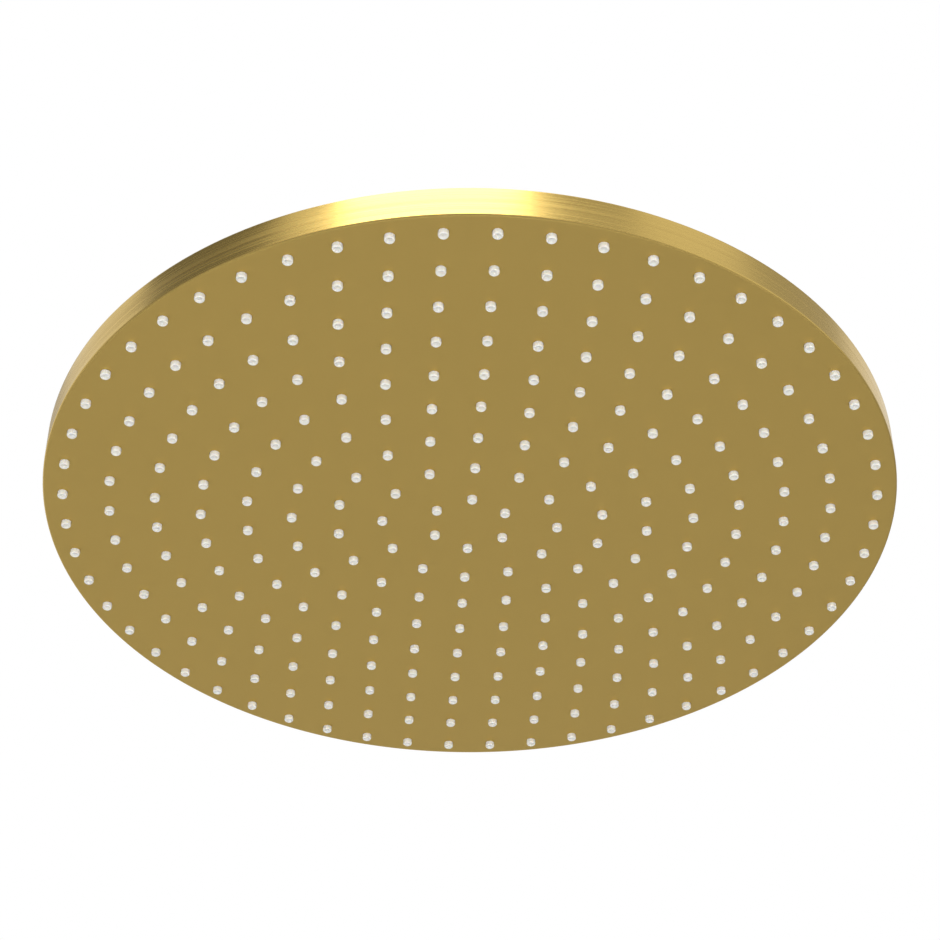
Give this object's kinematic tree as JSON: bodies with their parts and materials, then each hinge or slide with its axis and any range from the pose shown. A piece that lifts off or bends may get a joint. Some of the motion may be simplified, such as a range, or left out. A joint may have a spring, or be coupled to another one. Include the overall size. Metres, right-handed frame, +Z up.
{
  "type": "rain shower head",
  "caption": "Slim round overhead shower head in brushed gold metal, with rings of silicone nozzles in its flat face and a swivel ball inlet on its back.",
  "frame": {"origin": "on the axis of the inlet thread, where the thread starts just inside the mouth", "axes": "+Z up along the inlet thread and out of its mouth; the spray face looks down, along -Z"},
  "size_m": [0.3, 0.3, 0.0617],
  "materials": {
    "gold_sheet": "gold-coloured vapour coating over brushed stainless steel sheet",
    "gold_turned": "gold-coloured vapour coating over turned and brushed brass",
    "plain_brass": "bare turned brass",
    "plain_steel": "bare stainless steel",
    "nozzle_silicone": "moulded off-white silicone, slightly translucent",
    "grid_plastic": "moulded white ABS",
    "bearing_plastic": "turned natural acetal",
    "regulator_plastic": "moulded green acetal",
    "seal_rubber": "black rubber"
  },
  "bodies": {
    "connector": {"swivel_ball": "gold_turned", "inlet_washer": "seal_rubber", "filter_screen": "plain_steel", "regulator_body": "regulator_plastic", "regulator_ring": "seal_rubber"},
    "slip_ring": {"slip_ring": "bearing_plastic"},
    "head": {"face_pan": "gold_sheet", "back_cover": "gold_sheet", "hub": "gold_turned", "collar_nut": "gold_turned", "nozzle_mat": "nozzle_silicone", "backing_grid": "grid_plastic", "ball_seat": "bearing_plastic", "rim_gasket": "seal_rubber", "hub_gasket": "seal_rubber", "seat_seal": "seal_rubber", "pillar_washers": "seal_rubber", "standoffs": "plain_steel", "cover_screws": "plain_steel", "hub_locknut": "plain_brass"}
  },
  "joints": [
    {"name": "ball_turn", "type": "hinge", "parent": "connector", "child": "slip_ring", "pos_m": [0, 0, -0.03153], "axis": [0, 0, 1], "continuous": true},
    {"name": "ball_tilt", "type": "hinge", "parent": "slip_ring", "child": "head", "pos_m": [0, 0, -0.03153], "axis": [1, 0, 0], "range_deg": [-15, 15]}
  ]
}
